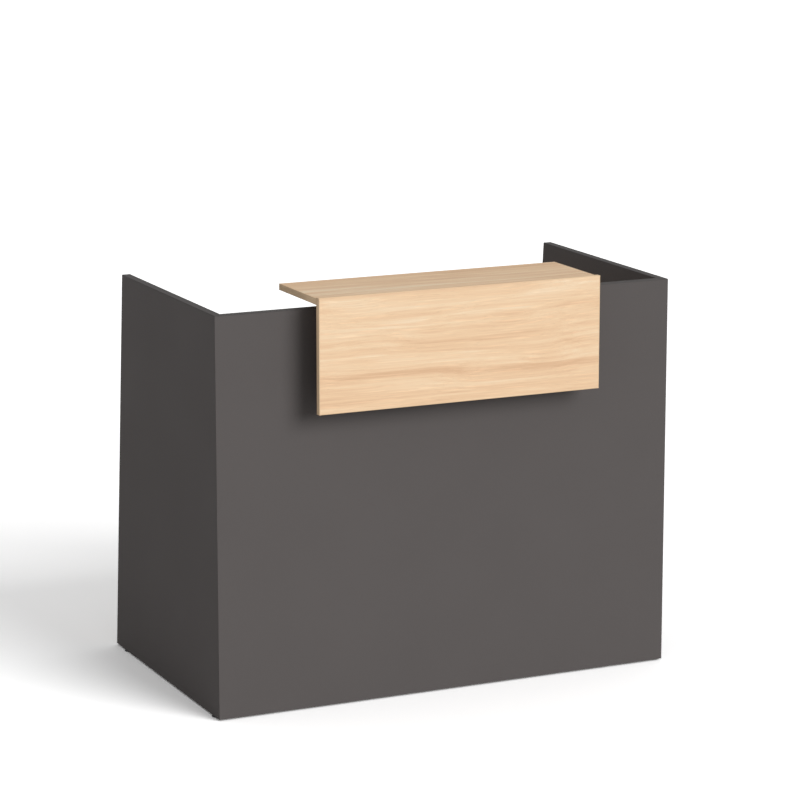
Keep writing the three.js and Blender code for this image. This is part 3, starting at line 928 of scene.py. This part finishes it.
@dataclass
class CablePort:
    """A flanged ring in the worktop and the notched cap that lies on its ledge."""

    palette: Palette
    end: str
    sleeve_radius: float = 0.0397
    mouth_radius: float = 0.0372
    ledge_radius: float = 0.035
    ledge_depth: float = 0.0024
    flange_seat: float = 0.0002
    notch_width: float = 0.024
    notch_reach: float = 0.022
    corner: float = 0.0009
    arc_steps: int = 88
    corner_steps: int = 4
    ring_segments: int = 96

    def ring(self) -> None:
        """Turns the ring with rounded arrises."""
        low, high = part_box(f"port_ring_{self.end}")
        flange = (high.x - low.x) / 2
        centre = plan_middle(low, high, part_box("worktop")[1].z)
        bottom, top = low.z - centre.z, high.z - centre.z
        profile = [
            (self.ledge_radius, bottom / 2),
            (self.ledge_radius, bottom),
            (self.sleeve_radius, bottom),
            (self.sleeve_radius, self.flange_seat),
            (flange, self.flange_seat),
            (flange, top),
            (self.mouth_radius, top),
            (self.mouth_radius, -self.ledge_depth),
            (self.ledge_radius, -self.ledge_depth),
            (self.ledge_radius, bottom / 2),
        ]
        form = turned(rounded(profile, self.corner), centre, Axis.Z, self.ring_segments)
        mesh = mesh_of(form, f"port_ring_{self.end}_moulded", self.palette.plastic)
        new_piece(mesh, ROOT, "black_plastic", f"port_ring_{self.end}")

    def outline(self, radius: float, inset: float) -> list[tuple[float, float]]:
        """Draws the cap's outline, notch included.

        Args:
            radius: the cap's radius.
            inset: how far the outline is drawn in from the cap's sides.

        Returns:
            The outline's points, counter-clockwise.
        """
        outer = radius - inset
        half = self.notch_width / 2 + inset
        bottom = self.notch_reach - self.notch_width / 2 - radius
        gap = math.asin(half / outer)
        sweep = 2 * math.pi - 2 * gap
        turns = [gap - math.pi / 2 + sweep * step / self.arc_steps for step in range(self.arc_steps + 1)]
        rim = [(outer * math.cos(turn), outer * math.sin(turn)) for turn in turns]
        steps = self.arc_steps // 4
        bends = [math.pi - math.pi * step / steps for step in range(steps + 1)]
        return rim + [(half * math.cos(bend), bottom + half * math.sin(bend)) for bend in bends]

    def cap(self) -> None:
        """Makes the cap as a plate with rounded upper and lower arrises."""
        name = f"port_cap_{self.end}"
        low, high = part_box(name)
        radius = (high.x - low.x) / 2
        centre = Vector(((low.x + high.x) / 2, high.y - radius, 0))
        turns = [math.pi / 2 * step / self.corner_steps for step in range(self.corner_steps + 1)]
        arc = [(self.corner * (1 - math.sin(a)), self.corner * (1 - math.cos(a))) for a in turns]
        layers = [(inset, low.z + rise) for inset, rise in arc]
        layers += [(rise, high.z - inset) for inset, rise in arc]
        form = bmesh.new()
        loops = [
            [form.verts.new(centre + Vector((x, y, z))) for x, y in self.outline(radius, inset)]
            for inset, z in layers
        ]
        form.faces.new(reversed(loops[0]))
        form.faces.new(loops[-1])
        for lower, upper in zip(loops, loops[1:]):
            for i in range(len(lower)):
                following = (i + 1) % len(lower)
                form.faces.new((lower[i], lower[following], upper[following], upper[i]))
        mesh = mesh_of(form, f"{name}_moulded", self.palette.plastic)
        new_piece(mesh, name, "black_plastic", name)

    def build(self) -> None:
        """Makes the ring and the cap."""
        self.ring()
        self.cap()


@dataclass
class Worktop:
    """The worktop, its edging and its cable ports."""

    palette: Palette

    def build(self) -> None:
        """Makes both cable ports."""
        for end in ENDS:
            CablePort(self.palette, end).build()

    def dress(self) -> None:
        """Gives the worktop and its edging their wood decor."""
        dress(self.palette.wood_board, "worktop")
        dress(self.palette.wood_edging[Axis.X], "worktop_edging")


@dataclass
class Counter:
    """The raised shelf and fascia, with the spacers, posts and screws that hold them."""

    palette: Palette
    bore_radius: float = 0.0033
    spacer_corner: float = 0.0011
    head_radius: float = 0.007
    head_height: float = 0.004
    shank_radius: float = 0.003
    recess_reach: float = 0.0029
    recess_depth: float = 0.0024
    tube_segments: int = 64

    def dress(self) -> None:
        """Gives the boards and their edging the wood decor, and the hidden fixings their finishes."""
        dress(self.palette.wood_board, "counter_shelf", "counter_fascia")
        long_strips = ("shelf_rear_edging", "fascia_top_edging", "fascia_bottom_edging")
        dress(self.palette.wood_edging[Axis.X], *long_strips)
        dress(self.palette.wood_edging[Axis.Y], *(f"shelf_end_edging_{end}" for end in ENDS))
        dress(self.palette.wood_edging[Axis.Z], *(f"fascia_end_edging_{end}" for end in ENDS))
        dress(self.palette.plywood, "counter_tongue")
        dress(self.palette.zinc, *(f"shelf_stud_{end}" for end in ENDS))

    def tube(self, name: str, axis: Axis) -> None:
        """Turns a spacer or a post with rounded arrises.

        Args:
            name: the CAD node that it stands for.
            axis: the direction that it runs in.
        """
        low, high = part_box(name)
        centre = (low + high) / 2
        half = (high - low).dot(axis.value) / 2
        radius = (high - low).x / 2
        profile = [
            (self.bore_radius, 0.0),
            (self.bore_radius, -half),
            (radius, -half),
            (radius, half),
            (self.bore_radius, half),
            (self.bore_radius, 0.0),
        ]
        form = turned(rounded(profile, self.spacer_corner), centre, axis, self.tube_segments)
        mesh = mesh_of(form, f"{name}_turned", self.palette.anodised[axis])
        new_piece(mesh, ROOT, "satin_aluminium", name)

    def seat(self, name: str) -> Vector:
        """Returns the point where a fascia screw's head meets the front panel."""
        low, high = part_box(name)
        return Vector(((low.x + high.x) / 2, high.y - self.head_height, (low.z + high.z) / 2))

    def build(self) -> None:
        """Makes the spacers, the posts and the fascia's screws."""
        corners = [f"{end}_{level}" for end in ENDS for level in ("lower", "upper")]
        screws = [f"fascia_screw_{corner}" for corner in corners]
        seats = [(self.seat(name), Axis.Y.value) for name in screws]
        length = seats[-1][0].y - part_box(screws[-1])[0].y
        group = Screws(
            "fascia_screws_domed", Drive.HEXAGON, self.head_radius, self.head_height,
            self.shank_radius, length, self.recess_reach, self.recess_depth, seats=seats,
        )
        new_piece(group.build(self.palette.zinc), ROOT, "zinc_steel", *screws)
        for corner in corners:
            self.tube(f"fascia_spacer_{corner}", Axis.Y)
        for end in ENDS:
            self.tube(f"shelf_post_{end}", Axis.Z)


@dataclass
class LevellingFoot:
    """A pad that carries a threaded spindle, and the insert that the spindle screws into."""

    palette: Palette
    place: str
    pitch: float = 0.00125
    thread_depth: float = 0.00055
    thread_crest: float = 0.004
    thread_crease: float = 30.0
    turn_steps: int = 20
    ridge_sides: int = 4
    collar_radius: float = 0.0056
    collar_height: float = 0.0016
    tip: float = 0.0012
    socket_radius: float = 0.0059
    floor: float = 0.0016
    rim: float = 0.0024
    shoulder_radius: float = 0.010
    corner: float = 0.0008
    spindle_corner: float = 0.0003
    spindle_segments: int = 32

    def pad(self) -> None:
        """Turns the pad with rounded arrises."""
        name = f"foot_pad_{self.place}"
        low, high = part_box(name)
        radius = (high.x - low.x) / 2
        centre = plan_middle(low, high, low.z)
        top = high.z - low.z
        profile = [
            (0.0, 0.0),
            (radius, 0.0),
            (radius, self.rim),
            (self.shoulder_radius, top),
            (self.socket_radius, top),
            (self.socket_radius, self.floor),
            (0.0, self.floor),
        ]
        form = turned(rounded(profile, self.corner), centre, Axis.Z)
        mesh = mesh_of(form, f"{name}_moulded", self.palette.plastic)
        new_piece(mesh, name, "black_plastic", name)

    def spindle(self) -> None:
        """Turns the spindle's core and winds its thread."""
        name = f"foot_spindle_{self.place}"
        low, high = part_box(name)
        centre = plan_middle(low, high, low.z)
        length = high.z - low.z
        core = self.thread_crest - self.thread_depth
        profile = [
            (0.0, 0.0),
            (self.collar_radius, 0.0),
            (self.collar_radius, self.collar_height),
            (core, self.collar_height),
            (core, length - self.tip),
            (core - self.tip, length),
            (0.0, length),
        ]
        form = turned(rounded(profile, self.spindle_corner, 2), centre, Axis.Z, self.spindle_segments)
        mesh = mesh_of(form, f"{name}_core", self.palette.zinc)
        start = self.collar_height + self.pitch
        mesh = self.thread(mesh, centre, core, start, length - self.tip - self.pitch)
        mesh.name = f"{name}_threaded"
        new_piece(mesh, name, "zinc_steel", name)

    def thread(
        self, base: bpy.types.Mesh, centre: Vector, core: float, start: float, end: float
    ) -> bpy.types.Mesh:
        """Winds a right-hand thread round the spindle's core.

        Args:
            base: the core.
            centre: the foot of the spindle's axis.
            core: the core's radius.
            start: the height where the thread starts.
            end: the height where it ends.

        Returns:
            The core and the thread as one mesh.
        """
        maker = NodeModifier(f"thread_{self.place}", {
            "Core Radius": core,
            "Depth": self.thread_depth,
            "Turns": (end - start) / self.pitch,
            "Length": end - start,
            "Place": centre + Vector((0, 0, start)),
            "Material": self.palette.zinc,
        })
        given = maker.given
        helix = maker.wired("GeometryNodeCurveSpiral", {
            "Resolution": self.turn_steps, "Rotations": given["Turns"], "Height": given["Length"],
            "Start Radius": given["Core Radius"], "End Radius": given["Core Radius"],
        })
        upright = maker.wired("GeometryNodeSetCurveNormal", (helix,), mode="Z_UP")
        section = {"Resolution": self.ridge_sides, "Radius": given["Depth"]}
        ridge = maker.wired("GeometryNodeCurvePrimitiveCircle", section)
        feeds = {"Curve": upright, "Profile Curve": ridge, "Fill Caps": True}
        sweep = maker.wired("GeometryNodeCurveToMesh", feeds)
        lifted = {"Geometry": sweep, "Translation": given["Place"]}
        thread = maker.wired("GeometryNodeTransform", lifted)
        maker.end(maker.join(given["Geometry"], thread), self.thread_crease)
        return maker.run(f"thread_{self.place}", base)

    def build(self) -> None:
        """Makes the pad and the spindle, and dresses the insert."""
        self.pad()
        self.spindle()
        dress(self.palette.zinc, f"foot_insert_{self.place}")


@dataclass
class Studio:
    """The floor, the lights and the camera."""

    ambient: float = 0.49
    lean: Vector = field(default_factory=lambda: Vector((-0.12, 0.25, 0.0)))
    sun_strength: float = 2.17
    sun_direction: Vector = field(default_factory=lambda: Vector((0.45, -1.0, 0.47)))
    sun_angle: float = math.radians(36)
    floor_half: float = 60.0
    floor_bounce: float = 0.65
    floor_seen: float = 1.84
    eye: Vector = field(default_factory=lambda: Vector((-3.6432, -7.8790, 2.6016)))
    azimuth: float = math.radians(24.9499)
    tilt: float = math.radians(12.0570)
    lens: float = 142.32
    sensor: float = 36.0

    def seen_ray(self, maker: NodeMaker) -> bpy.types.NodeSocket:
        """Finds the rays that show the backdrop, straight or through gloss and glass.

        Args:
            maker: the tree.

        Returns:
            1 for such a ray and 0 for others.
        """
        path = maker.add("ShaderNodeLightPath").outputs
        mirrored = maker.maths("MAXIMUM", path["Is Glossy Ray"], path["Is Transmission Ray"])
        return maker.maths("MAXIMUM", path["Is Camera Ray"], mirrored)

    def world(self) -> None:
        """Lights the desk softly from all round, in front of a white backdrop."""
        world = bpy.data.worlds.new("studio")
        world.use_nodes = True
        bpy.context.scene.world = world
        maker = NodeMaker(world.node_tree)
        slope = maker.dot(maker.add("ShaderNodeTexCoord").outputs["Generated"], self.lean * self.ambient)
        soft = maker.maths("ADD", slope, self.ambient)
        level = maker.wired("ShaderNodeMix", {"Factor": self.seen_ray(maker), "A": soft, "B": 1.0})
        maker.show("ShaderNodeOutputWorld", maker.wired("ShaderNodeBackground", {"Strength": level}))

    def floor(self) -> None:
        """Lays a white floor that keeps the desk's shadow and is clear from below."""
        half = self.floor_half
        corners = [(-half, -half, 0.0), (half, -half, 0.0), (half, half, 0.0), (-half, half, 0.0)]
        mesh = bpy.data.meshes.new("floor")
        mesh.from_pydata(corners, [], [range(4)])
        material = bpy.data.materials.new("floor")
        material.use_nodes = True
        maker = NodeMaker(material.node_tree)
        level = maker.maths(
            "MULTIPLY_ADD", self.seen_ray(maker), self.floor_seen - self.floor_bounce, self.floor_bounce
        )
        white = maker.wired("ShaderNodeCombineColor", (level, level, level))
        matt = maker.wired("ShaderNodeBsdfDiffuse", {"Color": white})
        clear = maker.add("ShaderNodeBsdfTransparent").outputs[0]
        below = maker.add("ShaderNodeNewGeometry").outputs["Backfacing"]
        maker.show("ShaderNodeOutputMaterial", maker.wired("ShaderNodeMixShader", (below, matt, clear)))
        mesh.materials.append(material)
        floor = bpy.data.objects.new("floor", mesh)
        bpy.context.scene.collection.objects.link(floor)

    def key_light(self) -> None:
        """Hangs a broad soft light at the front right."""
        sun = bpy.data.lights.new("key", "SUN")
        sun.energy = self.sun_strength
        sun.angle = self.sun_angle
        lamp = bpy.data.objects.new("key", sun)
        lamp.rotation_mode = "QUATERNION"
        lamp.rotation_quaternion = self.sun_direction.to_track_quat("Z", "Y")
        bpy.context.scene.collection.objects.link(lamp)

    def camera(self) -> None:
        """Sets the camera where the photograph was taken from."""
        data = bpy.data.cameras.new("camera")
        data.lens = self.lens
        data.sensor_width = self.sensor
        camera = bpy.data.objects.new("camera", data)
        level = math.cos(self.tilt)
        ahead = Vector((
            math.sin(self.azimuth) * level,
            math.cos(self.azimuth) * level,
            -math.sin(self.tilt),
        ))
        camera.location = self.eye
        camera.rotation_mode = "QUATERNION"
        camera.rotation_quaternion = ahead.to_track_quat("-Z", "Y")
        bpy.context.scene.collection.objects.link(camera)
        bpy.context.scene.camera = camera

    def build(self) -> None:
        """Makes the studio and sets the plain view transform."""
        bpy.context.scene.view_settings.view_transform = "Standard"
        self.world()
        self.floor()
        self.key_light()
        self.camera()


def main() -> None:
    """Builds and dresses each sub-assembly, then the studio."""
    palette = Palette()
    Studio().build()
    Carcass(palette).dress()
    Brackets(palette).build()
    worktop = Worktop(palette)
    worktop.dress()
    worktop.build()
    counter = Counter(palette)
    counter.dress()
    counter.build()
    for place in (f"{end}_{row}" for end in ENDS for row in ("front", "rear")):
        LevellingFoot(palette, place).build()


if __name__ == "__main__":
    main()
